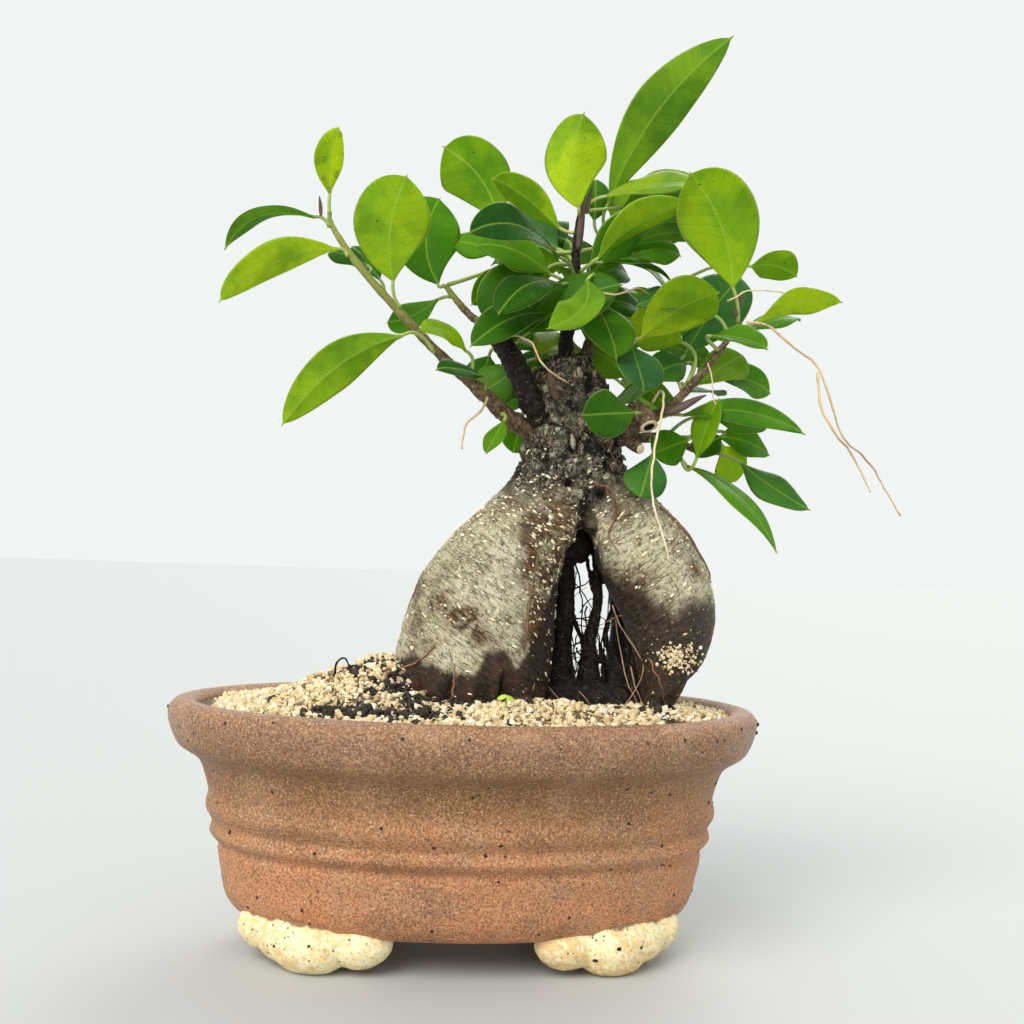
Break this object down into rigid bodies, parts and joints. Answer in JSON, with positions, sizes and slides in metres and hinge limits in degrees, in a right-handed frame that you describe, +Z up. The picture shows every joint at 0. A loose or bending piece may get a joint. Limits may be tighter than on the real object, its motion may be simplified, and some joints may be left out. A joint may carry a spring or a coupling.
{
  "type": "potted ginseng ficus bonsai",
  "caption": "Ginseng ficus bonsai with swollen leg-like roots, leafy twigs and bare aerial roots, in an oval unglazed brown pot on cream cloud feet, topped with coarse pale sand.",
  "frame": {"origin": "centre of the object's box, at the height of the surface that its feet stand on", "axes": "+Z up; +X along the pot's long side, towards the viewer's right; -Y towards the front, where both leg-like roots show"},
  "size_m": [0.2072, 0.1088, 0.2703],
  "materials": {
    "stoneware": "unglazed, brown turning orange downwards, fine pale speckles, soft sheen",
    "cream_stoneware": "matt cream with small pits and dark specks",
    "screen_mesh": "dark plastic mesh",
    "soil": "damp dark crumbs",
    "sand": "coarse pale angular grains",
    "bark": "grey-olive bark with pale lenticels, dark and damp at the base",
    "twig": "brown woody twig, green at the tip",
    "aerial_root": "thin smooth cream root",
    "leaf": "leathery, glossy dark upper side, light matt underside with fine veins"
  },
  "bodies": {
    "root": {"aerial_root_front": "aerial_root", "aerial_root_left": "aerial_root", "aerial_root_right_long": "aerial_root", "aerial_root_right_short": "aerial_root", "branch_back": "twig", "branch_left": "twig", "branch_left_inner": "twig", "branch_lower_right": "twig", "branch_right": "twig", "drainage_screen_left": "screen_mesh", "drainage_screen_right": "screen_mesh", "foot_back_left": "cream_stoneware", "foot_back_right": "cream_stoneware", "foot_front_left": "cream_stoneware", "foot_front_right": "cream_stoneware", "leader_shoot": "twig", "leaf_left_01": "leaf", "leaf_left_02": "leaf", "leaf_left_03": "leaf", "leaf_left_04": "leaf", "leaf_left_05": "leaf", "leaf_left_06": "leaf", "leaf_left_07": "leaf", "leaf_left_08": "leaf", "leaf_left_09": "leaf", "leaf_left_10": "leaf", "leaf_left_11": "leaf", "leaf_left_12": "leaf", "leaf_right_01": "leaf", "leaf_right_02": "leaf", "leaf_right_03": "leaf", "leaf_right_04": "leaf", "leaf_right_05": "leaf", "leaf_right_06": "leaf", "leaf_right_07": "leaf", "leaf_right_08": "leaf", "leaf_right_09": "leaf", "leaf_right_10": "leaf", "leaf_top_01": "leaf", "leaf_top_02": "leaf", "leaf_top_03": "leaf", "leaf_top_04": "leaf", "leaf_top_05": "leaf", "leaf_top_06": "leaf", "leaf_top_07": "leaf", "leaf_top_08": "leaf", "leaf_top_09": "leaf", "leaf_top_10": "leaf", "leaf_top_11": "leaf", "leaf_top_12": "leaf", "leaf_top_13": "leaf", "leaf_top_14": "leaf", "pot_body": "stoneware", "potting_soil": "soil", "pruned_stub": "twig", "sand_top_dressing": "sand", "shoot_top_right": "twig", "stub_branch_left": "twig", "trunk_and_roots": "bark"}
  },
  "joints": []
}
